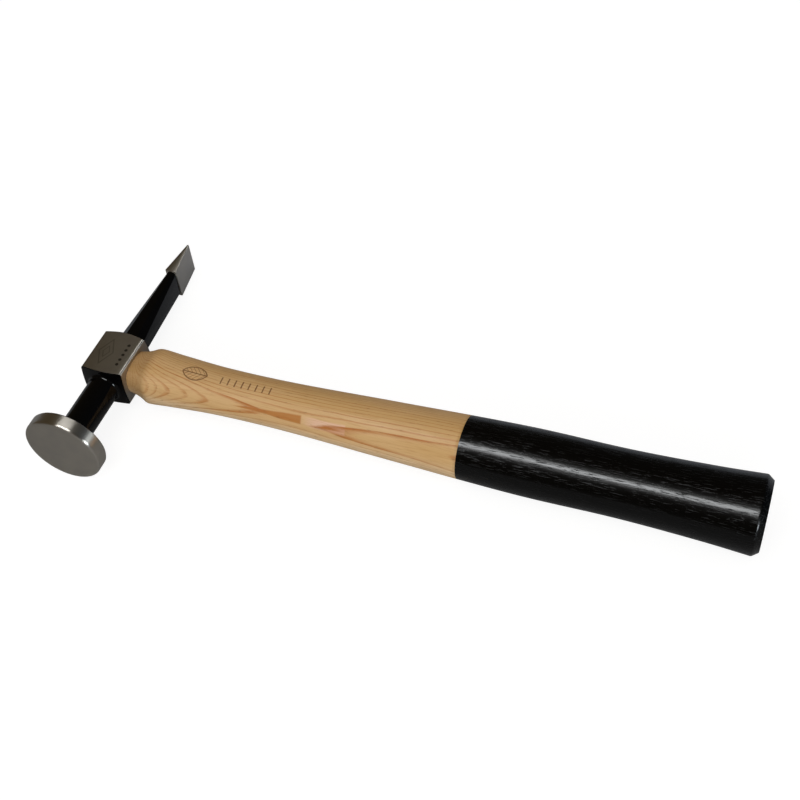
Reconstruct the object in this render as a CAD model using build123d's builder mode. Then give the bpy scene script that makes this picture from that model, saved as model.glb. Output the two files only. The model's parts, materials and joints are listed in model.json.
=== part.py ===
from build123d import *
import os
from math import hypot

# A panel beater's hammer: a one-piece forged head with a flat round face and a cross pein, on a
# hickory handle with a black lacquered grip.
#
# Every piece is drawn about the centre of the head's eye, with +X along the handle to its butt, +Y
# along the head to its pein and +Z out of the upper cheek. The finished pieces are then laid down
# together on the three points that the hammer rests on. All sizes are in millimetres.

# Striking face, a round plate at the -Y end of the head
face_radius = 20.0
face_front_y = -57.0
face_back_y = -49.85
face_front_radius = 1.2
face_back_chamfer = 0.4

# Neck, a round bar between the face and the eye block
neck_radius = 7.9
neck_fillet = 2.0

# Eye block, a square bar with rounded edges between two shallow conical shoulders
block_half_width = 11.3
block_half_height = 11.0
block_edge_radius = 1.2
block_corner_y = 12.5
block_corner_radius = hypot(block_half_width, block_half_height)
front_shoulder_rise = 0.18
rear_shoulder_rise = 0.39

# Arm, an octagonal bar that grows thin and tall towards the pein
arm_start_y = 10.5
arm_root_y = 16.0
arm_root_half_width = 7.1
arm_root_half_height = 5.6
arm_root_corner = (3.8, 2.3)
arm_end_half_width = 2.6
arm_end_half_height = 8.1
arm_end_corner = (1.4, 1.5)

# Cross pein, a wedge whose edge stands across the handle
pein_base_y = 64.5
pein_tip_y = 86.0
pein_base_half_width = 3.27
pein_tip_half_width = 0.5
pein_tip_radius = 0.4
pein_half_height = 8.9

# Lacquer coats: one on the forged surfaces of the head, a thicker dipped one on the grip
head_coat = 0.2
grip_coat = 0.3
grip_front_x = 186.3

# Eye, a waisted oval hole that the handle's tongue fills: half-width along Y, half-thickness along Z
# and fullness, which runs from an ellipse at 0.55 to a rectangle at 1
eye_handle_side = (10.4, 8.5, 0.75)
eye_waist = (9.9, 8.0, 0.75)
eye_wedge_side = (10.7, 8.8, 0.75)

# Handle, an oval bar: distance from the eye's centre, then each section in the same three measures
handle_sections = [
    (block_half_width, 14.3, 12.0, 0.66),
    (24.0, 14.4, 12.0, 0.66),
    (33.0, 13.7, 11.6, 0.65),
    (60.0, 12.4, 10.7, 0.60),
    (95.0, 12.4, 11.2, 0.57),
    (150.0, 14.4, 13.6, 0.55),
    (215.0, 16.6, 15.8, 0.55),
    (262.0, 16.4, 15.6, 0.55),
    (300.0, 17.6, 16.7, 0.55),
    (325.6, 19.2, 18.2, 0.55),
]
butt_x, butt_half_width, butt_half_thickness = handle_sections[-1][:3]
butt_chamfer_length = 3.0
butt_chamfer_depth = 2.5

# Cove between the tongue and the handle's body, in the same measures
cove_sections = [
    (block_half_width, *eye_handle_side),
    (14.5, 11.0, 9.1, 0.76),
    (18.5, 12.3, 10.4, 0.75),
    (25.0, 15.6, 13.8, 0.72),
]

# Wooden wedge in a saw cut along the eye, and the steel ring wedge driven in over it
wood_wedge_length = 15.3
wood_wedge_head = 3.2
wood_wedge_toe = 0.8
ring_wedge_depth = 9.0
ring_wedge_head_radius = 5.0
ring_wedge_toe_radius = 4.6
ring_wedge_bore_radius = 3.8

# How far blanks and cutters run past what they shape, as a share of its size, and how near a vertex
# lies to a radius that it is chosen by
overrun = 1.2
nearness = 0.01


def shoulder_y(radius, rise):
    """Distance from the eye's centre plane of a conical shoulder, at a radius from the head's axis."""
    return block_corner_y + rise * (block_corner_radius - radius)


def oval(x, half_width, half_thickness, fullness):
    """One oval section of the handle, as a sketch across it at x."""
    with BuildSketch(Plane.YZ.offset(x)) as section:
        with BuildLine() as outline:
            Bezier(
                (half_width, 0),
                (half_width, fullness * half_thickness),
                (fullness * half_width, half_thickness),
                (0, half_thickness),
            )
            mirror(outline.line, about=Plane.YZ)
            mirror(outline.line, about=Plane.XZ)
        make_face()
    return section.sketch


def octagon(y, skin=0.0):
    """One octagonal section of the arm, as a sketch across it at y, less a skin all round."""
    along = (y - arm_root_y) / (pein_base_y - arm_root_y)
    half_width = arm_root_half_width + along * (arm_end_half_width - arm_root_half_width)
    half_height = arm_root_half_height + along * (arm_end_half_height - arm_root_half_height)
    corner_width = arm_root_corner[0] + along * (arm_end_corner[0] - arm_root_corner[0])
    corner_height = arm_root_corner[1] + along * (arm_end_corner[1] - arm_root_corner[1])
    with BuildSketch(Plane.XZ.offset(-y)) as section:
        with BuildLine() as outline:
            Polyline(
                (half_width, 0),
                (half_width, half_height - corner_height),
                (half_width - corner_width, half_height),
                (0, half_height),
            )
            mirror(outline.line, about=Plane.YZ)
            mirror(outline.line, about=Plane.XZ)
        make_face()
        if skin:
            offset(amount=-skin, kind=Kind.INTERSECTION, mode=Mode.REPLACE)
    return section.sketch


def square_bar(half_length):
    """The eye block's rounded square bar along the head, before its shoulders are cut."""
    with BuildPart() as bar:
        with BuildSketch(Plane.XZ):
            RectangleRounded(2 * block_half_width, 2 * block_half_height, block_edge_radius)
        extrude(amount=half_length, both=True)
    return bar.part


# The eye block: a square bar cut by the two conical shoulders, which are lower by the coat they carry.
reach = overrun * block_corner_radius
with BuildPart() as block:
    add(square_bar(reach))
    with BuildSketch(Plane.XY):
        with BuildLine():
            Polyline(
                (0, head_coat - shoulder_y(0, front_shoulder_rise)),
                (reach, head_coat - shoulder_y(reach, front_shoulder_rise)),
                (reach, shoulder_y(reach, rear_shoulder_rise) - head_coat),
                (0, shoulder_y(0, rear_shoulder_rise) - head_coat),
                close=True,
            )
        make_face()
    revolve(axis=Axis.Y, mode=Mode.INTERSECT)

# The eye's waisted oval, which is also the shape of the handle's tongue.
with BuildPart() as eye:
    add(oval(-block_half_width, *eye_wedge_side))
    add(oval(0, *eye_waist))
    add(oval(block_half_width, *eye_handle_side))
    loft()

# The forged head: face, neck, block, arm and pein in one piece of steel, with the eye through it.
steel_neck_radius = neck_radius - head_coat
steel_neck_end = head_coat - shoulder_y(steel_neck_radius, front_shoulder_rise)
steel_face_back = face_back_y - head_coat
with BuildPart() as head:
    add(block.part)
    with BuildSketch(Plane.XY) as turned:
        with BuildLine():
            Polyline(
                (0, face_front_y),
                (face_radius, face_front_y),
                (face_radius, steel_face_back - face_back_chamfer),
                (face_radius - face_back_chamfer, steel_face_back),
                (steel_neck_radius, steel_face_back),
                (steel_neck_radius, steel_neck_end),
                (block_half_height, head_coat - shoulder_y(block_half_height, front_shoulder_rise)),
                (0, -block_half_height),
                close=True,
            )
        make_face()
        neck_ends = turned.vertices().filter_by(lambda v: abs(v.X - steel_neck_radius) < nearness)
        fillet(neck_ends, neck_fillet)
        front_edge = turned.vertices().group_by(Axis.Y)[0].sort_by(Axis.X)[-1]
        fillet(front_edge, face_front_radius)
    revolve(axis=Axis.Y)
    add(octagon(arm_start_y, head_coat))
    add(octagon(pein_base_y, head_coat))
    loft()
    with BuildSketch(Plane.XY) as pein:
        with BuildLine():
            Polyline(
                (-pein_base_half_width, pein_base_y),
                (pein_base_half_width, pein_base_y),
                (pein_tip_half_width, pein_tip_y),
                (-pein_tip_half_width, pein_tip_y),
                close=True,
            )
        make_face()
        fillet(pein.vertices().group_by(Axis.Y)[-1], pein_tip_radius)
    extrude(amount=pein_half_height, both=True)
    add(eye.part, mode=Mode.SUBTRACT)

# Black lacquer on the back of the face, round the neck and over the front shoulder.
with BuildPart() as neck_lacquer:
    with BuildSketch(Plane.XY) as coat:
        with BuildLine():
            Polyline(
                (face_radius - face_back_chamfer, face_back_y),
                (neck_radius, face_back_y),
                (neck_radius, -shoulder_y(neck_radius, front_shoulder_rise)),
                (reach, -shoulder_y(reach, front_shoulder_rise)),
                (reach, head_coat - shoulder_y(reach, front_shoulder_rise)),
                (steel_neck_radius, steel_neck_end),
                (steel_neck_radius, steel_face_back),
                (face_radius - face_back_chamfer, steel_face_back),
                close=True,
            )
        make_face()
        outer_corners = coat.vertices().filter_by(lambda v: abs(v.X - neck_radius) < nearness)
        inner_corners = coat.vertices().filter_by(lambda v: abs(v.X - steel_neck_radius) < nearness)
        fillet(outer_corners + inner_corners, neck_fillet)
    revolve(axis=Axis.Y)
    with BuildSketch(Plane.XZ.offset(block_corner_y + block_edge_radius + head_coat)):
        Rectangle(2 * overrun * face_radius, 2 * overrun * face_radius)
        RectangleRounded(
            2 * block_half_width, 2 * block_half_height, block_edge_radius, mode=Mode.SUBTRACT
        )
    extrude(amount=-block_corner_y, mode=Mode.SUBTRACT)

# Black lacquer on the rear shoulder, along the arm and on the ledge behind the pein.
with BuildPart() as arm_lacquer:
    with BuildSketch(Plane.XY):
        with BuildLine():
            Polyline(
                (0, shoulder_y(0, rear_shoulder_rise) - head_coat),
                (0, shoulder_y(0, rear_shoulder_rise)),
                (reach, shoulder_y(reach, rear_shoulder_rise)),
                (reach, shoulder_y(reach, rear_shoulder_rise) - head_coat),
                close=True,
            )
        make_face()
    revolve(axis=Axis.Y)
    add(square_bar(reach), mode=Mode.INTERSECT)
    add(octagon(arm_root_y))
    add(octagon(pein_base_y))
    loft()
    with BuildSketch(Plane.XZ.offset(head_coat - pein_base_y)):
        Rectangle(2 * pein_base_half_width, 2 * pein_half_height)
    extrude(amount=-head_coat)
    add(head.part, mode=Mode.SUBTRACT)

# The steel ring wedge: a short tube, slightly tapered outside, driven in from the far side of the eye.
with BuildPart() as ring_wedge:
    with BuildSketch(Plane.XY):
        with BuildLine():
            Polyline(
                (-block_half_width, ring_wedge_bore_radius),
                (-block_half_width, ring_wedge_head_radius),
                (ring_wedge_depth - block_half_width, ring_wedge_toe_radius),
                (ring_wedge_depth - block_half_width, ring_wedge_bore_radius),
                close=True,
            )
        make_face()
    revolve(axis=Axis.X)

# The wooden wedge: a thin taper as wide as the eye, split by the ring wedge.
with BuildPart() as wood_wedge:
    with BuildSketch(Plane.XZ):
        with BuildLine():
            Polyline(
                (-block_half_width, -wood_wedge_head / 2),
                (wood_wedge_length - block_half_width, -wood_wedge_toe / 2),
                (wood_wedge_length - block_half_width, wood_wedge_toe / 2),
                (-block_half_width, wood_wedge_head / 2),
                close=True,
            )
        make_face()
    extrude(amount=block_half_width, both=True)
    add(eye.part, mode=Mode.INTERSECT)
    add(ring_wedge.part, mode=Mode.SUBTRACT)

# The waste that the cove's cutter takes off between the tongue and the body.
with BuildPart() as cove_waste:
    with BuildSketch(Plane.YZ.offset(block_half_width)):
        Circle(overrun * butt_half_width)
    extrude(amount=cove_sections[-1][0] - block_half_width)
    for section in cove_sections:
        add(oval(*section))
    loft(mode=Mode.SUBTRACT)

# The handle's outer shape behind the head, with its chamfered butt.
with BuildPart() as handle_blank:
    for section in handle_sections:
        add(oval(*section))
    loft()
    butt_face = handle_blank.faces().sort_by(Axis.X)[-1]
    chamfer(butt_face.edges(), butt_chamfer_depth, butt_chamfer_length, reference=butt_face)
    add(cove_waste.part, mode=Mode.SUBTRACT)

# The wood that the grip's lacquer covers: the same shape, smaller all round by the coat.
with BuildPart() as grip_core:
    for x, half_width, half_thickness, fullness in handle_sections:
        core_x = min(x, butt_x - grip_coat)
        add(oval(core_x, half_width - grip_coat, half_thickness - grip_coat, fullness))
    loft()
    core_face = grip_core.faces().sort_by(Axis.X)[-1]
    chamfer(core_face.edges(), butt_chamfer_depth, butt_chamfer_length, reference=core_face)

# The grip's coat of black lacquer, closed over the butt.
with BuildPart() as grip_lacquer:
    add(handle_blank.part)
    split(bisect_by=Plane.YZ.offset(grip_front_x), keep=Keep.TOP)
    add(grip_core.part, mode=Mode.SUBTRACT)

# The handle: tongue, coved shoulder and body in one piece of hickory, cut for the wedges and the coat.
with BuildPart() as handle:
    add(handle_blank.part)
    add(eye.part)
    add(grip_lacquer.part, mode=Mode.SUBTRACT)
    add(wood_wedge.part, mode=Mode.SUBTRACT)
    add(ring_wedge.part, mode=Mode.SUBTRACT)

# The three points that the hammer rests on: the back rim of the face, the lower end of the pein's edge,
# and the underside of the butt ahead of its chamfer.
face_rest = Vector(0, steel_face_back - face_back_chamfer, -face_radius)
pein_rest = Vector(0, pein_tip_y - pein_tip_radius, -pein_half_height)
butt_rest = Vector(butt_x - butt_chamfer_length, 0, -butt_half_thickness)
up = (butt_rest - face_rest).cross(pein_rest - face_rest).normalized()
along_handle = Vector(1, 0, 0) - up * up.X
resting = Plane(origin=face_rest, x_dir=along_handle, z_dir=up)

# Laid down, the hammer's box stands on z = 0 with its middle over the origin.
pieces = (head, handle, grip_lacquer, neck_lacquer, arm_lacquer, wood_wedge, ring_wedge)
resting_box = Compound([piece.part.moved(resting.location.inverse()) for piece in pieces]).bounding_box()
foot = Vector(resting_box.center().X, resting_box.center().Y, resting_box.min.Z)
laid_down = Location(-foot) * resting.location.inverse()
for piece in pieces:
    piece.part.move(laid_down)

os.makedirs("parts", exist_ok=True)

head.part.label = "head"
export_step(head.part, "parts/head.step")
handle.part.label = "handle"
export_step(handle.part, "parts/handle.step")
grip_lacquer.part.label = "grip_lacquer"
export_step(grip_lacquer.part, "parts/grip_lacquer.step")
neck_lacquer.part.label = "neck_lacquer"
export_step(neck_lacquer.part, "parts/neck_lacquer.step")
arm_lacquer.part.label = "arm_lacquer"
export_step(arm_lacquer.part, "parts/arm_lacquer.step")
wood_wedge.part.label = "wood_wedge"
export_step(wood_wedge.part, "parts/wood_wedge.step")
ring_wedge.part.label = "ring_wedge"
export_step(ring_wedge.part, "parts/ring_wedge.step")
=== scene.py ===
import json
from math import cos, hypot, radians, sin, tau

import bmesh
import bpy
from mathutils import Matrix, Vector


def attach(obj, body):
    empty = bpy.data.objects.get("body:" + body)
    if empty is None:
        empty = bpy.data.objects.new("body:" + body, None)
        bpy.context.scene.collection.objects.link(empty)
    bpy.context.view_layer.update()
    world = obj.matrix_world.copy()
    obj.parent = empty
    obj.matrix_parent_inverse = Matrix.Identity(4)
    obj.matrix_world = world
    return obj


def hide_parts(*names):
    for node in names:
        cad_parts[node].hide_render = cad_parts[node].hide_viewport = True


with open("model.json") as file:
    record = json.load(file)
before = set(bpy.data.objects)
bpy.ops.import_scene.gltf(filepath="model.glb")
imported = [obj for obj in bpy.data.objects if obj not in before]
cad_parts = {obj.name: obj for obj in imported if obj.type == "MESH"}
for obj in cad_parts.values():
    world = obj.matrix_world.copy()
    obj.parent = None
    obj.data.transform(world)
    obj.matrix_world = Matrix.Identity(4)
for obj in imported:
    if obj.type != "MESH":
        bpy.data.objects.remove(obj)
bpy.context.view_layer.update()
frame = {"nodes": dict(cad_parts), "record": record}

# A panel beater's hammer: a forged head on a hickory handle with a black lacquered grip.
#
# Every piece is drawn about the centre of the head's eye, with +X along the handle to its butt, +Y along
# the head to its pein and +Z out of the upper cheek, and is then laid on the CAD part. Sizes are in
# millimetres, the same as the CAD part has, and become metres where a mesh is made.
MM = 0.001

FACE_RADIUS = 20.0
FACE_FRONT = -57.0
FACE_BACK = -49.85
FACE_FRONT_ROUND = 1.2
FACE_BACK_CHAMFER = 0.4
NECK_RADIUS = 7.9
NECK_FILLET = 2.0

BLOCK_HALF_WIDTH = 11.3
BLOCK_HALF_HEIGHT = 11.0
BLOCK_EDGE_ROUND = 1.2
BLOCK_CORNER_Y = 12.5
BLOCK_CORNER_RADIUS = hypot(BLOCK_HALF_WIDTH, BLOCK_HALF_HEIGHT)
BLOCK_REACH = 1.2 * BLOCK_CORNER_RADIUS
FRONT_SHOULDER_RISE = 0.18
REAR_SHOULDER_RISE = 0.39

ARM_ROOT_Y = 16.0
ARM_ROOT = (7.1, 5.6, 3.8, 2.3)
ARM_END = (2.6, 8.1, 1.4, 1.5)
ARM_EDGE_ROUND = 0.35

PEIN_BASE_Y = 64.5
PEIN_TIP_Y = 86.0
PEIN_BASE_HALF_WIDTH = 3.27
PEIN_TIP_HALF_WIDTH = 0.5
PEIN_HALF_HEIGHT = 8.9
PEIN_EDGE_ROUND = 0.25

HEAD_COAT = 0.2
GRIP_COAT = 0.3
GRIP_FRONT = 186.3

# Oval sections: distance along the handle, half-width along Y, half-thickness along Z, and fullness,
# from an ellipse at 0.55 to a rectangle at 1.
TONGUE_CHAMFER = 0.25
TONGUE = [(-11.3, 10.7, 8.8, 0.75), (0.0, 9.9, 8.0, 0.75), (11.3, 10.4, 8.5, 0.75)]
COVE = [(11.3, 10.4, 8.5, 0.75), (14.5, 11.0, 9.1, 0.76), (18.5, 12.3, 10.4, 0.75), (25.0, 15.6, 13.8, 0.72)]
BODY = [
    (11.3, 14.3, 12.0, 0.66),
    (24.0, 14.4, 12.0, 0.66),
    (33.0, 13.7, 11.6, 0.65),
    (60.0, 12.4, 10.7, 0.60),
    (95.0, 12.4, 11.2, 0.57),
    (150.0, 14.4, 13.6, 0.55),
    (215.0, 16.6, 15.8, 0.55),
    (262.0, 16.4, 15.6, 0.55),
    (300.0, 17.6, 16.7, 0.55),
    (325.6, 19.2, 18.2, 0.55),
]
BUTT = BODY[-1][0]
BUTT_CHAMFER_LENGTH = 3.0
BUTT_CHAMFER_DEPTH = 2.5
RIDGE_ROUND = 0.7


def hammer_frame(record):
    """The hammer's own axes in the row frame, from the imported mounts: eye centre, handle, pein, up."""
    mounts = {mount["name"]: mount for mount in record["mounts"]}
    butt = Vector(mounts["butt_end"]["pos_m"])
    face = Vector(mounts["striking_face"]["pos_m"])
    along = Vector(mounts["butt_end"]["axis"]).normalized()
    up = along.cross(-Vector(mounts["striking_face"]["axis"])).normalized()
    centre = butt - along * (butt - face).dot(along)
    return Matrix.Translation(centre) @ Matrix((along, up.cross(along), up)).transposed().to_4x4()


HAMMER = hammer_frame(frame["record"])


# Meshes

def new_object(name, points, faces):
    """A mesh object from points in millimetres, lying in the hammer's frame."""
    mesh = bpy.data.meshes.new(name)
    mesh.from_pydata([Vector(point) * MM for point in points], [], faces)
    made = bpy.data.objects.new(name, mesh)
    bpy.context.scene.collection.objects.link(made)
    made.matrix_world = HAMMER
    return tidy_mesh(made)


def tidy_mesh(piece):
    """Joins doubled points and turns every face outwards."""
    work = bmesh.new()
    work.from_mesh(piece.data)
    bmesh.ops.remove_doubles(work, verts=work.verts, dist=0.002 * MM)
    bmesh.ops.recalc_face_normals(work, faces=work.faces)
    work.to_mesh(piece.data)
    work.free()
    return piece


def smooth(piece, angle=30):
    """Smooth shading, with every edge sharper than the angle kept crisp."""
    piece.data.polygons.foreach_set("use_smooth", [True] * len(piece.data.polygons))
    piece.data.set_sharp_from_angle(angle=radians(angle))
    return piece


def apply_modifiers(piece):
    bpy.context.view_layer.update()
    shaped = piece.evaluated_get(bpy.context.evaluated_depsgraph_get())
    mesh = bpy.data.meshes.new_from_object(shaped)
    piece.modifiers.clear()
    piece.data = mesh
    return piece


def combine(piece, operation, *tools):
    """Unites the piece with each tool, cuts them from it, or keeps what they share, and removes them."""
    for tool in tools:
        step = piece.modifiers.new(operation.lower(), "BOOLEAN")
        step.operation = operation
        step.solver = "EXACT"
        step.object = tool
        apply_modifiers(piece)
        bpy.data.objects.remove(tool)
    return tidy_mesh(piece)


def round_edges(piece, size, chosen, segments=3):
    """Rounds the edges for which chosen(edge) is true."""
    work = bmesh.new()
    work.from_mesh(piece.data)
    edges = [edge for edge in work.edges if chosen(edge)]
    bmesh.ops.bevel(work, geom=edges, offset=size * MM, segments=segments, profile=0.5, affect="EDGES")
    work.to_mesh(piece.data)
    work.free()
    return piece


def copy_of(piece, name):
    """A loose copy of a piece, for use as a cutter."""
    made = bpy.data.objects.new(name, piece.data.copy())
    bpy.context.scene.collection.objects.link(made)
    made.matrix_world = piece.matrix_world
    return made


def skin(name, rings, closed_ends=True):
    """A closed surface through rings of points.

    Each end is closed by a fan, or else the last ring meets the first.
    """
    count = len(rings[0])
    points = [point for ring in rings for point in ring]
    faces = []
    spans = range(len(rings) - 1 if closed_ends else len(rings))
    for row in spans:
        first, second = row * count, (row + 1) % len(rings) * count
        for i in range(count):
            j = (i + 1) % count
            faces.append((first + i, first + j, second + j, second + i))
    if closed_ends:
        for start, ring in ((0, rings[0]), (count * (len(rings) - 1), rings[-1])):
            points.append(sum((Vector(point) for point in ring), Vector()) / count)
            faces += [(start + i, start + (i + 1) % count, len(points) - 1) for i in range(count)]
    return new_object(name, points, faces)


def lathe(name, profile, closed_ends=True, segments=144):
    """Turns a profile of (radius, y) points about the head's axis."""
    turns = [tau * i / segments for i in range(segments)]
    rings = [[(radius * cos(turn), y, radius * sin(turn)) for turn in turns] for radius, y in profile]
    return skin(name, rings, closed_ends)


def arc(centre, radius, start, end, steps=8):
    """Points of (radius, y) on a circular arc, with its angles in degrees."""
    angles = [radians(start + (end - start) * i / steps) for i in range(steps + 1)]
    return [(centre[0] + radius * cos(angle), centre[1] + radius * sin(angle)) for angle in angles]


def prism(name, outline, low, high, lift):
    """A bar between two outlines; lift places an outline's point at a height."""
    return skin(name, [[lift(point, height) for point in outline(height)] for height in (low, high)])


# Shapes of the head

def shoulder_y(radius, rise):
    """Distance from the eye's centre plane of a conical shoulder, at a radius from the head's axis."""
    return BLOCK_CORNER_Y + rise * (BLOCK_CORNER_RADIUS - radius)


def square_bar(name, low, high):
    """The eye block's square bar with rounded long edges, from one distance along the head to another."""
    inner_x = BLOCK_HALF_WIDTH - BLOCK_EDGE_ROUND
    inner_z = BLOCK_HALF_HEIGHT - BLOCK_EDGE_ROUND
    outline = []
    for quarter, (side_x, side_z) in enumerate(((1, 1), (-1, 1), (-1, -1), (1, -1))):
        corner = (side_x * inner_x, side_z * inner_z)
        outline += arc(corner, BLOCK_EDGE_ROUND, 90 * quarter, 90 * quarter + 90)
    return prism(name, lambda y: outline, low, high, lambda point, y: (point[0], y, point[1]))


def octagon(y):
    """The arm's octagonal outline, in X and Z, at a distance along the head."""
    share = (y - ARM_ROOT_Y) / (PEIN_BASE_Y - ARM_ROOT_Y)
    half_width, half_height, corner_x, corner_z = (a + share * (b - a) for a, b in zip(ARM_ROOT, ARM_END))
    quarter = [(half_width, half_height - corner_z), (half_width - corner_x, half_height)]
    upper = quarter + [(-x, z) for x, z in reversed(quarter)]
    return upper + [(-x, -z) for x, z in upper]


def is_long_edge(edge):
    """True for an edge that runs mostly along the head."""
    run = edge.verts[1].co - edge.verts[0].co
    return abs(run.y) > 0.7 * run.length and edge.calc_face_angle(0) > radians(10)


def turned_profile(coat):
    """The filleted neck, from the back of the face to the front shoulder, less a coat."""
    radius = NECK_RADIUS - coat
    shoulder = coat - shoulder_y(radius, FRONT_SHOULDER_RISE)
    back = FACE_BACK - coat
    profile = arc((radius + NECK_FILLET, back + NECK_FILLET), NECK_FILLET, 270, 180)
    profile += arc((radius + NECK_FILLET, shoulder - NECK_FILLET), NECK_FILLET, 180, 90)
    return profile


def turned_end():
    """The round face with its neck."""
    back = FACE_BACK - HEAD_COAT
    front_corner = (FACE_RADIUS - FACE_FRONT_ROUND, FACE_FRONT + FACE_FRONT_ROUND)
    profile = [(6.0, FACE_FRONT), (13.0, FACE_FRONT)]
    profile += arc(front_corner, FACE_FRONT_ROUND, 270, 360)
    profile += [(FACE_RADIUS, back - FACE_BACK_CHAMFER), (FACE_RADIUS - FACE_BACK_CHAMFER, back)]
    profile += turned_profile(HEAD_COAT)
    profile += [(NECK_RADIUS, 0.0)]
    return lathe("turned_end", profile)


def eye_block():
    """The square bar cut by the two conical shoulders, lower by the coat that they carry."""
    front = [(radius, HEAD_COAT - shoulder_y(radius, FRONT_SHOULDER_RISE)) for radius in (0.1, BLOCK_REACH)]
    rear = [(radius, shoulder_y(radius, REAR_SHOULDER_RISE) - HEAD_COAT) for radius in (BLOCK_REACH, 0.1)]
    block = square_bar("eye_block", -BLOCK_REACH, BLOCK_REACH)
    return combine(block, "INTERSECT", lathe("shoulders", front + rear))


def pein():
    """The cross pein: a wedge with its edge across the handle."""
    corners = [
        (PEIN_BASE_HALF_WIDTH, PEIN_BASE_Y),
        (PEIN_TIP_HALF_WIDTH, PEIN_TIP_Y),
        (-PEIN_TIP_HALF_WIDTH, PEIN_TIP_Y),
        (-PEIN_BASE_HALF_WIDTH, PEIN_BASE_Y),
    ]
    height = PEIN_HALF_HEIGHT
    wedge = prism("pein", lambda z: corners, -height, height, lambda point, z: (*point, z))
    return round_edges(wedge, PEIN_EDGE_ROUND, lambda edge: edge.calc_face_angle(0) > radians(20))


def arm(name, low, coat):
    """The octagonal arm from a distance along the head to the pein, under or over its coat."""
    def shrunk(y):
        scale = [1 - coat / size for size in (octagon(y)[0][0], octagon(y)[1][1])]
        return [(x * scale[0], z * scale[1]) for x, z in octagon(y)]

    bar = prism(name, shrunk, low, PEIN_BASE_Y, lambda point, y: (point[0], y, point[1]))
    return round_edges(bar, ARM_EDGE_ROUND, is_long_edge)


def eye_cutter():
    """The eye's waisted oval, a little longer than the hole."""
    start, end = TONGUE[0][0], TONGUE[-1][0]
    steps = [start - 1] + stations(start, end, 1.13) + [end + 1]
    return skin("eye", [oval_ring(x, tongue_radius) for x in steps])


def solid_head():
    """The forged head in one piece, before its eye is cut: face, neck, block, arm and pein."""
    head = eye_block()
    head.name = "steel_head"
    return combine(head, "UNION", turned_end(), arm("arm_core", BLOCK_CORNER_Y - 2, HEAD_COAT), pein())


def neck_coat():
    """Lacquer on the back of the face, round the neck and over the front shoulder."""
    rim = FACE_RADIUS - FACE_BACK_CHAMFER
    shoulder = -shoulder_y(BLOCK_REACH, FRONT_SHOULDER_RISE)
    outer = [(rim, FACE_BACK)] + turned_profile(0) + [(BLOCK_REACH, shoulder)]
    inner = [(rim, FACE_BACK - HEAD_COAT)] + turned_profile(HEAD_COAT)
    inner += [(BLOCK_REACH, shoulder + HEAD_COAT)]
    coat = lathe("neck_coat", outer + inner[::-1], closed_ends=False)
    keeper = square_bar("keeper", -30.0, 0.0)
    wide = 1.1 * FACE_RADIUS
    combine(keeper, "UNION", lathe("wide", [(wide, FACE_FRONT), (wide, -20.0)], segments=64))
    return combine(coat, "INTERSECT", keeper)


def arm_coat(head):
    """Lacquer on the rear shoulder and along the arm, up to the pein."""
    cone = [(radius, shoulder_y(radius, REAR_SHOULDER_RISE)) for radius in (0.1, BLOCK_REACH)]
    under = [(radius, y - HEAD_COAT) for radius, y in cone]
    coat = lathe("arm_coat", cone + under[::-1], closed_ends=False)
    combine(coat, "INTERSECT", square_bar("keeper", 0.0, 2 * BLOCK_CORNER_Y))
    combine(coat, "UNION", arm("arm_outside", BLOCK_CORNER_Y, 0.0))
    return combine(coat, "DIFFERENCE", copy_of(head, "head_copy"))


# Shapes of the handle

def oval_radius(section, turn):
    """The radius of an oval section in a direction round the handle, from its Bezier quarter."""
    half_width, half_thickness, fullness = section
    across, up = abs(cos(turn)), abs(sin(turn))
    low, high = 0.0, 1.0
    for _ in range(22):
        t = (low + high) / 2
        s = 1 - t
        y = half_width * (s * s * s + 3 * s * s * t + 3 * fullness * s * t * t)
        z = half_thickness * (3 * fullness * s * s * t + 3 * s * t * t + t * t * t)
        if z * across < y * up:
            low = t
        else:
            high = t
    return hypot(y, z)


def section_at(sections, x):
    """The oval's three measures at x, on a smooth curve through the given sections."""
    i = max(0, min(len(sections) - 2, sum(section[0] <= x for section in sections) - 1))
    before, here, there, after = (sections[max(0, min(len(sections) - 1, i + k))] for k in (-1, 0, 1, 2))
    span = there[0] - here[0]
    t = max(0.0, min(1.0, (x - here[0]) / span))
    values = []
    for a, b, c, d in zip(before[1:], here[1:], there[1:], after[1:]):
        slope_in = (c - a) / (there[0] - before[0]) * span
        slope_out = (d - b) / (after[0] - here[0]) * span
        cubic = (2 * t - 3) * t * t * (b - c) + b
        values.append(cubic + t * (t - 1) ** 2 * slope_in + t * t * (t - 1) * slope_out)
    return values


def softer_minimum(a, b, width):
    """The smaller of two lengths, rounded over where they are nearly equal."""
    share = max(0.0, min(1.0, 0.5 + 0.5 * (b - a) / width))
    return b + (a - b) * share - width * share * (1 - share)


def tongue_radius(x, turn):
    return oval_radius(section_at(TONGUE, x), turn)


def body_radius(x, turn):
    """The handle's outside behind the head, with its coved shoulder and chamfered butt."""
    radius = oval_radius(section_at(BODY, x), turn)
    if x < COVE[-1][0]:
        radius = softer_minimum(radius, oval_radius(section_at(COVE, x), turn), RIDGE_ROUND)
    chamfer = BUTT_CHAMFER_DEPTH * (x - BUTT + BUTT_CHAMFER_LENGTH) / BUTT_CHAMFER_LENGTH
    return radius - softer_maximum(chamfer, 0.0)


def softer_maximum(a, b, width=0.5):
    return -softer_minimum(-a, -b, width)


def oval_ring(x, radius_at, less=0.0, scale=1.0, count=120):
    """One ring of points across the handle at x."""
    ring = []
    for i in range(count):
        turn = tau * i / count
        radius = (radius_at(x, turn) - less) * scale
        ring.append((x, radius * cos(turn), radius * sin(turn)))
    return ring


def stations(start, end, step):
    """Evenly spaced distances from start to end, about a step apart."""
    count = max(1, round((end - start) / step))
    return [start + (end - start) * i / count for i in range(count + 1)]


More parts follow.
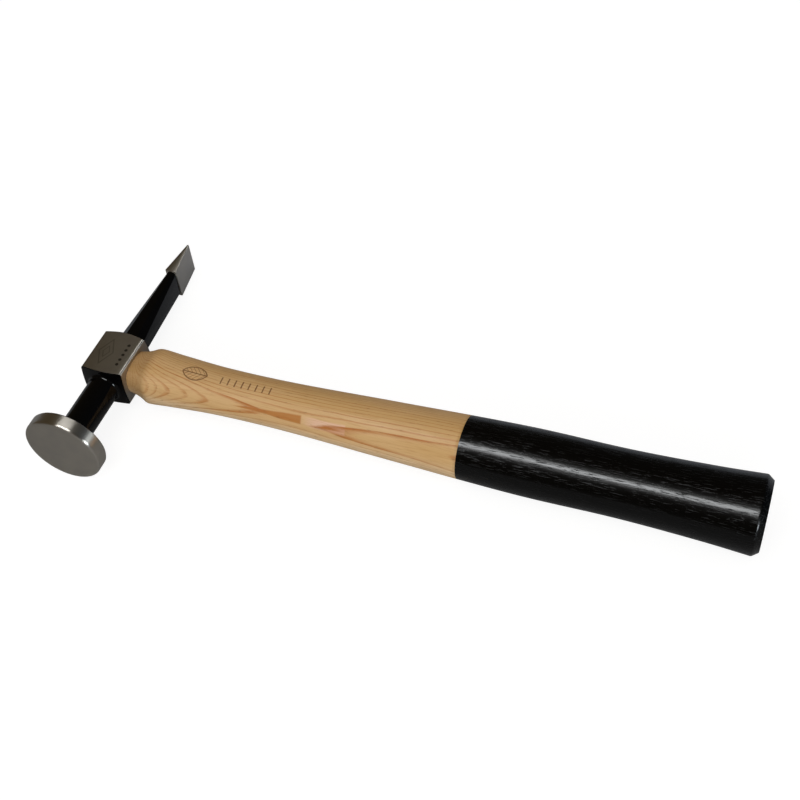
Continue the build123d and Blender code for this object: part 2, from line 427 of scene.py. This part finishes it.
def handle_wood(cutters):
    """The hickory: tongue, cove and body, less the grip's coat and what the wedges take up."""
    end = TONGUE[0][0]
    rings = [oval_ring(end, tongue_radius, scale=0.5), oval_ring(end, tongue_radius, less=TONGUE_CHAMFER)]
    tongue = stations(end + TONGUE_CHAMFER, BLOCK_HALF_WIDTH - 0.4, 1.5)
    rings += [oval_ring(x, tongue_radius) for x in tongue]
    rings += [oval_ring(x, body_radius) for x in stations(BLOCK_HALF_WIDTH, COVE[-1][0] + 1, 0.35)]
    rings += [oval_ring(x, body_radius) for x in stations(COVE[-1][0] + 2, GRIP_FRONT, 2.0)]
    last = BUTT - GRIP_COAT
    rings += [oval_ring(x, body_radius, less=GRIP_COAT) for x in stations(GRIP_FRONT, last - 4.0, 4.0)]
    rings += [oval_ring(x, body_radius, less=GRIP_COAT) for x in stations(last - 3.5, last, 0.5)]
    return combine(skin("hickory_handle", rings), "DIFFERENCE", *cutters)


def grip_coat():
    """The lacquer's shell round the grip and over the butt."""
    last = BUTT - GRIP_COAT
    rings = [oval_ring(x, body_radius, count=160) for x in stations(GRIP_FRONT, BUTT - 5.0, 1.5)]
    rings += [oval_ring(x, body_radius, count=160) for x in stations(BUTT - 4.8, BUTT, 0.2)]
    rings += [oval_ring(BUTT, body_radius, scale=scale, count=160) for scale in (0.97, 0.8, 0.5, 0.2, 0.02)]
    rings += [oval_ring(last, body_radius, scale=scale, count=160) for scale in (0.02, 0.5, 0.95)]
    inside = stations(GRIP_FRONT, last, 3.0)
    rings += [oval_ring(x, body_radius, less=GRIP_COAT, count=160) for x in reversed(inside)]
    return skin("grip_coat", rings, closed_ends=False)


# Materials

def add_node(tree, kind, inputs=(), **settings):
    """A shader node with its settings, and its inputs set or linked."""
    made = tree.nodes.new("ShaderNode" + kind)
    for name, value in settings.items():
        setattr(made, name, value)
    for name, value in dict(inputs).items():
        if isinstance(value, bpy.types.NodeSocket):
            tree.links.new(value, made.inputs[name])
        else:
            made.inputs[name].default_value = value
    return made


def calc(tree, operation, *values, clamp=False):
    """A Math node's result."""
    return add_node(tree, "Math", dict(enumerate(values)), operation=operation, use_clamp=clamp).outputs[0]


def dot(tree, place, direction):
    return add_node(tree, "VectorMath", {0: place, 1: direction}, operation="DOT_PRODUCT").outputs["Value"]


def sum_of_squares(tree, first, second):
    squares = [calc(tree, "MULTIPLY", value, value) for value in (first, second)]
    return calc(tree, "ADD", *squares)


def ramp(tree, value, low, high, to_low=0.0, to_high=1.0):
    """A value taken smoothly from one range to another and kept inside it."""
    inputs = {0: value, 1: low, 2: high, 3: to_low, 4: to_high}
    return add_node(tree, "MapRange", inputs, interpolation_type="SMOOTHSTEP").outputs[0]


def mix(tree, share, first, second, blend="MIX"):
    """Two colours mixed."""
    inputs = {0: share, 6: first, 7: second}
    return add_node(tree, "Mix", inputs, data_type="RGBA", blend_type=blend).outputs[2]


def rgb(red, green, blue):
    """A colour from display values out of 255, as the linear values that a shader takes."""
    linear = [((v / 255 + 0.055) / 1.055) ** 2.4 if v > 10 else v / 255 / 12.92 for v in (red, green, blue)]
    return (*linear, 1.0)


def millimetres(tree):
    """The surface point in the hammer's own frame, in millimetres."""
    inputs = {
        "Vector": add_node(tree, "TexCoord").outputs["Object"],
        "Location": HAMMER.to_translation(),
        "Rotation": HAMMER.to_euler(),
        "Scale": (MM, MM, MM),
    }
    return add_node(tree, "Mapping", inputs, vector_type="TEXTURE").outputs[0]


def round_the_head(tree):
    """The direction of grinding: round the head's axis, and along the handle on a flat end."""
    normal = add_node(tree, "NewGeometry").outputs["Normal"]
    handle_way, axis = HAMMER.to_3x3().col[:2]
    round_way = add_node(tree, "VectorMath", {0: axis, 1: normal}, operation="CROSS_PRODUCT").outputs[0]
    on_end = calc(tree, "GREATER_THAN", calc(tree, "ABSOLUTE", dot(tree, normal, axis)), 0.9)
    return add_node(tree, "Mix", {0: on_end, 4: round_way, 5: handle_way}, data_type="VECTOR").outputs[1]


def stretched_noise(tree, place, scale, detail=3.0, roughness=0.5):
    """Noise from 0 to 1 about 0.5, with its own scale along each axis."""
    scaled = add_node(tree, "VectorMath", {0: place, 1: scale}, operation="MULTIPLY").outputs[0]
    inputs = {"Vector": scaled, "Scale": 1.0, "Detail": detail, "Roughness": roughness}
    return add_node(tree, "TexNoise", inputs).outputs["Fac"]


def bump(tree, height, strength, distance, normal=None):
    """A bump of a height of 0 to 1 over a distance in millimetres."""
    inputs = {"Height": height, "Strength": strength, "Distance": distance * MM}
    if normal:
        inputs["Normal"] = normal
    return add_node(tree, "Bump", inputs).outputs[0]


def new_material(name):
    material = bpy.data.materials.new(name)
    material.use_nodes = True
    material.node_tree.nodes.clear()
    return material, material.node_tree


def finish_material(tree, inputs):
    shader = add_node(tree, "BsdfPrincipled", inputs)
    add_node(tree, "OutputMaterial", {"Surface": shader.outputs[0]})


# Plain marks on the upper cheek: a diamond's centre and half-sizes, a row's place, radius, pitch and count
ETCHED_DIAMOND = (-3.6, 3.9, 8.4)
PUNCHED_DOTS = (6.0, 0.85, 3.3, 5)


def diamond(tree, x, y, centre_x, half_x, half_y):
    """1 on the outline of a diamond and of a smaller one inside it."""
    across = calc(tree, "DIVIDE", calc(tree, "ABSOLUTE", calc(tree, "SUBTRACT", x, centre_x)), half_x)
    along = calc(tree, "DIVIDE", calc(tree, "ABSOLUTE", y), half_y)
    reach = calc(tree, "ADD", across, along)
    outline = ramp(tree, calc(tree, "ABSOLUTE", calc(tree, "SUBTRACT", reach, 1.0)), 0.12, 0.07)
    inner = ramp(tree, calc(tree, "ABSOLUTE", calc(tree, "SUBTRACT", reach, 0.45)), 0.1, 0.05)
    return calc(tree, "MAXIMUM", outline, inner)


def from_cell_middle(tree, cells, pitch):
    """Distance to the middle of a cell in a row of cells, from the place in numbers of cells."""
    return calc(tree, "MULTIPLY", calc(tree, "SUBTRACT", calc(tree, "FRACT", cells), 0.5), pitch)


def dots(tree, x, y, centre_x, radius, pitch, count):
    """1 inside each of a row of dots along the head, centred on the eye."""
    cells = calc(tree, "ADD", calc(tree, "DIVIDE", y, pitch), 0.5)
    along = from_cell_middle(tree, cells, pitch)
    across = calc(tree, "SUBTRACT", x, centre_x)
    from_middle = calc(tree, "SQRT", sum_of_squares(tree, along, across))
    inside = ramp(tree, from_middle, radius + 0.15, radius - 0.1)
    in_row = calc(tree, "LESS_THAN", calc(tree, "ABSOLUTE", y), pitch * count / 2)
    return calc(tree, "MULTIPLY", inside, in_row)


def ground_steel():
    """Satin steel: turned rings on the face and rim, straight grinding on the block and pein.

    The upper cheek carries a faint etched diamond and a row of dark punched dots.
    """
    material, tree = new_material("ground_steel")
    place = millimetres(tree)
    parts = add_node(tree, "SeparateXYZ", {0: place})
    x, y, z = parts.outputs
    radius = calc(tree, "SQRT", sum_of_squares(tree, x, z))
    turned_place = add_node(tree, "CombineXYZ", {0: radius, 1: y, 2: 0.0}).outputs[0]
    turned = stretched_noise(tree, turned_place, (7.0, 7.0, 1.0), detail=4)
    ground = stretched_noise(tree, place, (6.0, 0.12, 6.0), detail=4)
    on_face = calc(tree, "LESS_THAN", y, FACE_BACK + 1)
    lines = add_node(tree, "Mix", {0: on_face, 2: ground, 3: turned}).outputs[0]
    clouds = stretched_noise(tree, place, (0.12, 0.12, 0.12), detail=4)
    tone = mix(tree, lines, (0.49, 0.455, 0.4, 1), (0.55, 0.52, 0.475, 1))
    tone = mix(tree, ramp(tree, clouds, 0.4, 0.7), tone, (0.49, 0.46, 0.42, 1))
    on_cheek = calc(tree, "GREATER_THAN", z, BLOCK_HALF_HEIGHT - 0.1)
    on_block = calc(tree, "LESS_THAN", calc(tree, "ABSOLUTE", y), BLOCK_CORNER_Y)
    on_cheek = calc(tree, "MULTIPLY", on_cheek, on_block)
    etched = calc(tree, "MULTIPLY", on_cheek, diamond(tree, x, y, *ETCHED_DIAMOND))
    punched = calc(tree, "MULTIPLY", on_cheek, dots(tree, x, y, *PUNCHED_DOTS))
    tone = mix(tree, calc(tree, "MULTIPLY", etched, 0.45), tone, (0.2, 0.185, 0.15, 1))
    tone = mix(tree, calc(tree, "MULTIPLY", punched, 0.85), tone, (0.05, 0.045, 0.035, 1))
    rough = calc(tree, "MULTIPLY_ADD", on_face, -0.1, ramp(tree, lines, 0.3, 0.7, 0.4, 0.44))
    finish_material(tree, {
        "Base Color": tone,
        "Metallic": 1.0,
        "Roughness": rough,
        "Anisotropic": 0.97,
        "Anisotropic Rotation": 0.25,
        "Tangent": round_the_head(tree),
        "Normal": bump(tree, lines, 0.05, 0.02),
    })
    return material


def head_lacquer():
    """Gloss black lacquer with a faint orange peel."""
    material, tree = new_material("head_lacquer")
    place = millimetres(tree)
    peel = stretched_noise(tree, place, (0.5, 0.5, 0.5), detail=2)
    dust = stretched_noise(tree, place, (2.5, 2.5, 2.5), detail=2)
    tone = mix(tree, ramp(tree, dust, 0.55, 0.8), (0.001, 0.001, 0.0012, 1), (0.006, 0.006, 0.0065, 1))
    finish_material(tree, {
        "Base Color": tone,
        "Roughness": ramp(tree, dust, 0.4, 0.75, 0.1, 0.22),
        "Specular IOR Level": 0.2,
        "Normal": bump(tree, peel, 0.25, 0.08),
    })
    return material


def grip_lacquer():
    """Semi-gloss black lacquer that follows the open grain of the wood under it."""
    material, tree = new_material("grip_lacquer")
    place = millimetres(tree)
    grain = stretched_noise(tree, place, (0.07, 0.9, 0.9), detail=2, roughness=0.45)
    pores = stretched_noise(tree, place, (0.14, 2.2, 2.2), detail=4, roughness=0.65)
    open_pores = ramp(tree, pores, 0.55, 0.66)
    raised = calc(tree, "MULTIPLY", grain, 0.6)
    height = calc(tree, "SUBTRACT", raised, calc(tree, "MULTIPLY", open_pores, 0.5))
    tone = mix(tree, open_pores, (0.0006, 0.0006, 0.0007, 1), (0.0012, 0.0012, 0.0014, 1))
    finish_material(tree, {
        "Base Color": tone,
        "Roughness": calc(tree, "MULTIPLY_ADD", open_pores, 0.3, 0.2),
        "Specular IOR Level": 0.25,
        "Normal": bump(tree, height, 0.6, 0.1),
    })
    return material


# Hickory: the rings lie across RING_WAY. At the tongue they turn across the handle, behind it they slant
# out and come to the surface as pointed arches, and from mid-handle they run nearly along it. One strong
# ring, at RING_STRONG, has its waist there, filled by a heart streak and a pale patch.
RING_WAY = (0.0, -0.867, 0.498)
RING_SIDE = (0.0, 0.498, 0.867)
RING_RISE = 4.6
RING_RISE_START = 25.0
RING_RISE_LENGTH = 45.0
RING_SLOPE = -0.008
RING_TURN = 12.0
RING_TURN_LENGTH = 5.0
RING_WIDTH = 1.35
RING_STRONG = 12.8
STREAK = (70.0, 107.0, 2.0)
PATCH = (108.0, 130.0, 2.4)

# A burned mark on top of the handle: a plain leaf and a row of short bars
LEAF_CENTRE = (47.2, -1.1)
LEAF_HALF_LENGTH = 6.6
LEAF_HALF_WIDTH = 3.9
LEAF_VEINS = 2.3
BARS_START = 60.0
BARS_END = 90.0
BARS_MIDDLE_Y = -1.6
BAR_PITCH = 3.75
BAR_HALF_LENGTH = 2.0
BURN_HALF_LINE = 0.28


def patch_mask(tree, x, side, start, end, half_width, blunt):
    """1 inside a patch that widens along the handle from its start to its end, about the line where side is
    zero.
    """
    share = ramp(tree, x, start, end, blunt, 1.0)
    edge = calc(tree, "DIVIDE", calc(tree, "ABSOLUTE", side), calc(tree, "MULTIPLY", share, half_width))
    ends = calc(tree, "MULTIPLY", ramp(tree, x, start - 2, start + 8), ramp(tree, x, end + 1, end))
    return calc(tree, "MULTIPLY", ends, ramp(tree, edge, 1.25, 0.7))


def thin_line(tree, distance, half_line=BURN_HALF_LINE):
    """1 where a distance in millimetres is within a thin line."""
    return ramp(tree, calc(tree, "ABSOLUTE", distance), half_line + 0.12, half_line - 0.08)


def burned_leaf(tree, x, y):
    """A leaf's outline, midrib and veins: the outline is two arcs that meet at its ends."""
    arc_radius = (LEAF_HALF_LENGTH ** 2 + LEAF_HALF_WIDTH ** 2) / (2 * LEAF_HALF_WIDTH)
    along = calc(tree, "SUBTRACT", x, LEAF_CENTRE[0])
    across = calc(tree, "ABSOLUTE", calc(tree, "SUBTRACT", y, LEAF_CENTRE[1]))
    lifted = calc(tree, "ADD", across, arc_radius - LEAF_HALF_WIDTH)
    from_arc_centre = calc(tree, "SQRT", sum_of_squares(tree, along, lifted))
    outside = calc(tree, "SUBTRACT", from_arc_centre, arc_radius)
    slanted = calc(tree, "DIVIDE", calc(tree, "ADD", along, across), LEAF_VEINS)
    vein = from_cell_middle(tree, slanted, LEAF_VEINS)
    ribs = calc(tree, "MAXIMUM", thin_line(tree, across), thin_line(tree, vein, BURN_HALF_LINE / 2))
    ribs = calc(tree, "MULTIPLY", ribs, calc(tree, "LESS_THAN", outside, 0.0))
    return calc(tree, "MAXIMUM", thin_line(tree, outside), ribs)


def burned_bars(tree, x, y):
    """A row of short bars along the handle."""
    across = calc(tree, "SUBTRACT", y, BARS_MIDDLE_Y)
    along = calc(tree, "SUBTRACT", x, BARS_START)
    from_bar = from_cell_middle(tree, calc(tree, "DIVIDE", along, BAR_PITCH), BAR_PITCH)
    bar = thin_line(tree, from_bar, BURN_HALF_LINE + 0.05)
    short = ramp(tree, calc(tree, "ABSOLUTE", across), BAR_HALF_LENGTH + 0.1, BAR_HALF_LENGTH - 0.1)
    from_middle = calc(tree, "ABSOLUTE", calc(tree, "SUBTRACT", along, (BARS_END - BARS_START) / 2))
    in_row = calc(tree, "LESS_THAN", from_middle, (BARS_END - BARS_START) / 2)
    return calc(tree, "MULTIPLY", bar, calc(tree, "MULTIPLY", short, in_row))


def hickory(name="hickory", darker=0.0):
    """Pale hickory with orange latewood lines, fine pores and a satin clear coat."""
    material, tree = new_material(name)
    place = millimetres(tree)
    x, y, z = add_node(tree, "SeparateXYZ", {0: place}).outputs
    before_rise = calc(tree, "SUBTRACT", RING_RISE_START, x)
    rise = calc(tree, "EXPONENT", calc(tree, "DIVIDE", before_rise, RING_RISE_LENGTH))
    behind_head = calc(tree, "MAXIMUM", calc(tree, "SUBTRACT", x, BLOCK_HALF_WIDTH), 0.0)
    turn = calc(tree, "EXPONENT", calc(tree, "DIVIDE", behind_head, -RING_TURN_LENGTH))
    depth = calc(tree, "MULTIPLY_ADD", rise, RING_RISE, dot(tree, place, RING_WAY))
    depth = calc(tree, "MULTIPLY_ADD", turn, RING_TURN, depth)
    depth = calc(tree, "MULTIPLY_ADD", x, RING_SLOPE, depth)
    sway = calc(tree, "SUBTRACT", stretched_noise(tree, place, (0.02, 0.1, 0.1), detail=3), 0.5)
    depth = calc(tree, "MULTIPLY_ADD", sway, 1.3, depth)
    ring_place = add_node(tree, "CombineXYZ", {0: depth, 1: 0.0, 2: 0.0}).outputs[0]
    uneven = calc(tree, "SUBTRACT", stretched_noise(tree, ring_place, (0.45, 1.0, 1.0), detail=1), 0.5)
    from_strong = calc(tree, "SUBTRACT", depth, RING_STRONG)
    phase = calc(tree, "MULTIPLY_ADD", uneven, 0.8, calc(tree, "DIVIDE", from_strong, RING_WIDTH))
    inside = calc(tree, "FRACT", calc(tree, "ADD", phase, 0.13))
    late = calc(tree, "MULTIPLY", ramp(tree, inside, 0.0, 0.1), ramp(tree, inside, 0.45, 0.13))
    vigour = stretched_noise(tree, ring_place, (0.8, 1.0, 1.0), detail=2)
    strong = ramp(tree, calc(tree, "ABSOLUTE", from_strong), 0.7, 0.3)
    vigour = calc(tree, "MAXIMUM", ramp(tree, vigour, 0.35, 0.65, 0.3, 0.8), strong)
    broken = ramp(tree, stretched_noise(tree, place, (0.03, 0.7, 0.7), detail=3), 0.3, 0.6, 0.45, 1.0)
    side = calc(tree, "MULTIPLY_ADD", sway, 5.0, dot(tree, place, RING_SIDE))
    sapwood = ramp(tree, side, -3.0, -9.0)
    line = calc(tree, "MULTIPLY", calc(tree, "MULTIPLY", late, vigour), broken)
    line = calc(tree, "MULTIPLY", line, calc(tree, "MULTIPLY_ADD", sapwood, -0.6, 1.0))

    fibre = stretched_noise(tree, place, (0.05, 1.5, 1.5), detail=5, roughness=0.65)
    pore = ramp(tree, stretched_noise(tree, place, (0.3, 2.8, 2.8), detail=2), 0.58, 0.7)
    pore = calc(tree, "MULTIPLY", pore, ramp(tree, inside, 0.5, 0.1, 0.15, 1.0))
    broad = stretched_noise(tree, place, (0.012, 0.1, 0.1), detail=3)
    # Darker by the head: over the tongue, its end, the cove and the shoulder, fading out from 20 to 26 mm
    # behind the eye.
    darker_by_head = ramp(tree, x, 26.0, 20.0)

    pale = mix(tree, ramp(tree, broad, 0.35, 0.65), rgb(206, 166, 108), rgb(214, 176, 124))
    pale = mix(tree, calc(tree, "MULTIPLY", sapwood, 0.8), pale, rgb(234, 206, 166))
    tone = mix(tree, patch_mask(tree, x, side, *STREAK, 0.15), pale, rgb(186, 124, 62))
    tone = mix(tree, patch_mask(tree, x, side, *PATCH, 0.8), tone, rgb(228, 188, 158))
    tone = mix(tree, line, tone, rgb(182, 112, 54))
    tone = mix(tree, ramp(tree, fibre, 0.45, 0.7, 0.0, 0.45), tone, rgb(186, 136, 78))
    tone = mix(tree, calc(tree, "MULTIPLY", pore, 0.6), tone, rgb(140, 92, 50))
    tone = mix(tree, calc(tree, "MULTIPLY", darker_by_head, 0.4), tone, rgb(140, 104, 62))
    on_top = calc(tree, "GREATER_THAN", z, 0.0)
    marks = calc(tree, "MAXIMUM", burned_leaf(tree, x, y), burned_bars(tree, x, y))
    burned = calc(tree, "MULTIPLY", on_top, marks)
    tone = mix(tree, calc(tree, "MULTIPLY", burned, 0.8), tone, rgb(104, 62, 30))
    if darker:
        tone = mix(tree, darker, tone, rgb(120, 80, 45))
    height = calc(tree, "SUBTRACT", fibre, calc(tree, "MULTIPLY", pore, 0.8))
    height = calc(tree, "SUBTRACT", height, burned)
    finish_material(tree, {
        "Base Color": tone,
        "Roughness": ramp(tree, fibre, 0.3, 0.7, 0.45, 0.6),
        "Specular IOR Level": 0.2,
        "Coat Weight": 0.06,
        "Coat Roughness": 0.3,
        "Normal": bump(tree, height, 0.3, 0.05),
    })
    return material


def wedge_steel():
    """Drawn steel with scuffed ends."""
    material, tree = new_material("wedge_steel")
    place = add_node(tree, "VectorMath", {0: add_node(tree, "TexCoord").outputs["Object"], "Scale": 1 / MM},
                     operation="SCALE").outputs[0]
    scuff = stretched_noise(tree, place, (1.5, 4.0, 1.5), detail=4)
    finish_material(tree, {
        "Base Color": mix(tree, scuff, (0.22, 0.215, 0.21, 1), (0.4, 0.39, 0.38, 1)),
        "Metallic": 1.0,
        "Roughness": ramp(tree, scuff, 0.3, 0.7, 0.3, 0.5),
        "Normal": bump(tree, scuff, 0.3, 0.03),
    })
    return material


def pale_floor():
    """A plain white floor that takes a faint shadow; in reflections it shows grey with painted shade, darker
    on the face's side and lighter on the pein's side.
    """
    material, tree = new_material("pale_floor")
    seen_share = 0.12
    paper = stretched_noise(tree, millimetres(tree), (0.01, 0.01, 0.01), detail=3)
    seen_colour = mix(tree, paper, (0.22, 0.22, 0.22, 1), (0.25, 0.25, 0.25, 1))
    seen = add_node(tree, "BsdfDiffuse", {"Color": seen_colour})
    glow = add_node(tree, "Emission", {"Color": (1, 1, 1, 1), "Strength": 1 - seen_share})
    shown = add_node(tree, "AddShader", {0: seen.outputs[0], 1: glow.outputs[0]})
    # Painted shade, seen only in reflections: a grey floor, darker on the face's side and lighter on the
    # pein's side.
    behind = add_node(tree, "SeparateXYZ", {0: millimetres(tree)}).outputs[1]
    reflected_painted_shade = mix(tree, ramp(tree, behind, -60.0, 160.0), (0.34, 0.345, 0.35, 1), (0.56, 0.6, 0.68, 1))
    reflected = add_node(tree, "BsdfDiffuse", {"Color": reflected_painted_shade})
    to_camera = add_node(tree, "LightPath").outputs["Is Camera Ray"]
    both = add_node(tree, "MixShader", {0: to_camera, 1: reflected.outputs[0], 2: shown.outputs[0]})
    add_node(tree, "OutputMaterial", {"Surface": both.outputs[0]})
    return material


# The set: floor, surroundings, lights and camera

def hammer_point(point):
    """A point in millimetres in the hammer's frame, as metres in the row frame."""
    return HAMMER @ (Vector(point) * MM)


def floor():
    """A wide floor at the height that the hammer rests on."""
    half = 6.0
    mesh = bpy.data.meshes.new("floor")
    corners = [(-half, -half, 0), (half, -half, 0), (half, half, 0), (-half, half, 0)]
    mesh.from_pydata(corners, [], [(0, 1, 2, 3)])
    made = bpy.data.objects.new("floor", mesh)
    bpy.context.scene.collection.objects.link(made)
    mesh.materials.append(pale_floor())


def surroundings():
    """White behind the hammer, and a dim room for its reflections."""
    world = bpy.data.worlds.new("surroundings")
    world.use_nodes = True
    tree = world.node_tree
    tree.nodes.clear()
    white = add_node(tree, "Background", {"Color": (1, 1, 1, 1), "Strength": 1.0})
    way = add_node(tree, "TexCoord").outputs["Generated"]
    to_handle = dot(tree, way, (0.8, 0.2, -0.55))
    colour = mix(tree, ramp(tree, to_handle, -0.9, 0.9), (0.13, 0.10, 0.058, 1), (0.09, 0.11, 0.13, 1))
    room = add_node(tree, "Background", {"Color": colour, "Strength": 0.66})
    to_camera = add_node(tree, "LightPath").outputs["Is Camera Ray"]
    to_matt = add_node(tree, "LightPath").outputs["Is Diffuse Ray"]
    fill = add_node(tree, "Background", {"Color": (1.0, 0.98, 0.95, 1), "Strength": 0.46})
    lit = add_node(tree, "MixShader", {0: to_matt, 1: room.outputs[0], 2: fill.outputs[0]})
    both = add_node(tree, "MixShader", {0: to_camera, 1: lit.outputs[0], 2: white.outputs[0]})
    add_node(tree, "OutputWorld", {"Surface": both.outputs[0]})
    bpy.context.scene.world = world


def soft_light(name, target, direction, distance, width, height, power, colour):
    """A soft box that faces a target from a direction in the hammer's frame, at a distance in metres."""
    data = bpy.data.lights.new(name, "AREA")
    data.shape = "RECTANGLE"
    data.size = width
    data.size_y = height
    data.energy = power
    data.color = colour
    made = bpy.data.objects.new(name, data)
    bpy.context.scene.collection.objects.link(made)
    way = (HAMMER.to_3x3() @ Vector(direction)).normalized()
    made.location = hammer_point(target) + way * distance
    made.rotation_mode = "QUATERNION"
    made.rotation_quaternion = way.to_track_quat("Z", "Y")
    return made


def lights():
    middle = (110, 0, 0)
    overhead = (-0.08, -0.45, 0.89)
    soft_light("overhead", middle, overhead, 0.9, 0.5, 0.3, 1.2, (1.0, 0.98, 0.95))
    sheen = soft_light("sheen", middle, overhead, 0.88, 0.5, 0.16, 5.5, (0.95, 0.98, 1.0))
    sheen.visible_diffuse = False
    front = soft_light("front", middle, (0.05, -0.93, 0.36), 0.9, 1.0, 0.4, 3.0, (1.0, 0.98, 0.95))
    front.visible_glossy = False
    window = soft_light("window", (0, 0, 0), (0.83, -0.5, 0.2), 1.0, 0.26, 0.2, 4.5, (0.85, 0.94, 1.0))
    window.visible_diffuse = False


# The camera stands off the butt's side of the face, looking down past the head.
CAMERA_PLACE = (314.26, -347.08, 458.58)
CAMERA_RIGHT = (0.93869, 0.33679, -0.07369)
CAMERA_FORWARD = (-0.27432, 0.60017, -0.75136)
CAMERA_LENS = 56.25


def camera():
    data = bpy.data.cameras.new("camera")
    data.lens = CAMERA_LENS
    data.sensor_width = 36.0
    data.clip_start = 0.01
    made = bpy.data.objects.new("camera", data)
    bpy.context.scene.collection.objects.link(made)
    back = -Vector(CAMERA_FORWARD).normalized()
    right = (Vector(CAMERA_RIGHT) - back * back.dot(Vector(CAMERA_RIGHT))).normalized()
    turn = Matrix((right, back.cross(right), back)).transposed().to_4x4()
    made.matrix_world = HAMMER @ Matrix.Translation(Vector(CAMERA_PLACE) * MM) @ turn
    bpy.context.scene.camera = made


def dress(piece, material, node, angle=30):
    """Gives a piece its material, lets it ride on the hammer and stands it in for its CAD node."""
    piece.data.materials.clear()
    piece.data.materials.append(material)
    piece.data.transform(piece.matrix_world)
    piece.matrix_world = Matrix.Identity(4)
    smooth(piece, angle)
    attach(piece, "root")
    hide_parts(node)


def seat_cutter(node):
    """A loose copy of a CAD wedge for cutting its seat, with its head drawn out past the tongue's end."""
    cutter = tidy_mesh(copy_of(frame["nodes"][node], node + "_seat"))
    to_hammer = HAMMER.inverted()
    for vertex in cutter.data.vertices:
        place = to_hammer @ vertex.co
        if place.x < (TONGUE[0][0] + 0.1) * MM:
            place.x -= MM
            vertex.co = HAMMER @ place
    return cutter


bpy.context.scene.view_settings.view_transform = "Standard"
floor()
surroundings()
lights()
camera()

head = solid_head()
neck = neck_coat()
rear = arm_coat(head)
combine(head, "DIFFERENCE", eye_cutter())
wood = handle_wood([seat_cutter("wood_wedge"), seat_cutter("ring_wedge")])
grip = grip_coat()
black = head_lacquer()
dress(head, ground_steel(), "head")
dress(neck, black, "neck_lacquer")
dress(rear, black, "arm_lacquer", angle=20)
dress(wood, hickory(), "handle", angle=40)
dress(grip, grip_lacquer(), "grip_lacquer", angle=40)

for node, material in (("wood_wedge", hickory("wedge_wood", 0.35)), ("ring_wedge", wedge_steel())):
    carried = frame["nodes"][node]
    carried.data.materials.clear()
    carried.data.materials.append(material)
